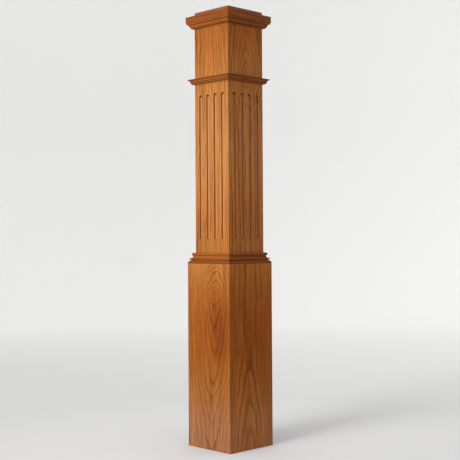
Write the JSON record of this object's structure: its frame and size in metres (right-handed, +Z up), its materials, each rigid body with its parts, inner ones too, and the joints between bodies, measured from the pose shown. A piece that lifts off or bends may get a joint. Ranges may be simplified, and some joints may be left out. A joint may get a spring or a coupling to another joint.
{
  "type": "box newel post",
  "caption": "Square hollow newel post of mitred boards, with a boxed foot, fluted shaft, plain handrail block and moulded flat cap.",
  "frame": {"origin": "middle of the square underside, on the floor", "axes": "+Z up along the post, -Y out of the front face, +X out of the right face"},
  "size_m": [0.1618, 0.1618, 1.1565],
  "materials": {
    "boards": "red oak, honey-orange satin varnish",
    "mouldings": "red oak mouldings, slightly redder satin varnish",
    "cap": "red oak cap, satin varnish"
  },
  "bodies": {
    "root": {"shaft_board_front": "boards", "shaft_board_right": "boards", "shaft_board_back": "boards", "shaft_board_left": "boards", "base_board_front": "boards", "base_board_right": "boards", "base_board_back": "boards", "base_board_left": "boards", "base_cap_moulding_front": "mouldings", "base_cap_moulding_right": "mouldings", "base_cap_moulding_back": "mouldings", "base_cap_moulding_left": "mouldings", "neck_moulding_front": "mouldings", "neck_moulding_right": "mouldings", "neck_moulding_back": "mouldings", "neck_moulding_left": "mouldings", "cap_moulding_front": "mouldings", "cap_moulding_right": "mouldings", "cap_moulding_back": "mouldings", "cap_moulding_left": "mouldings", "cap_board": "cap", "cap_plate": "cap"}
  },
  "joints": []
}
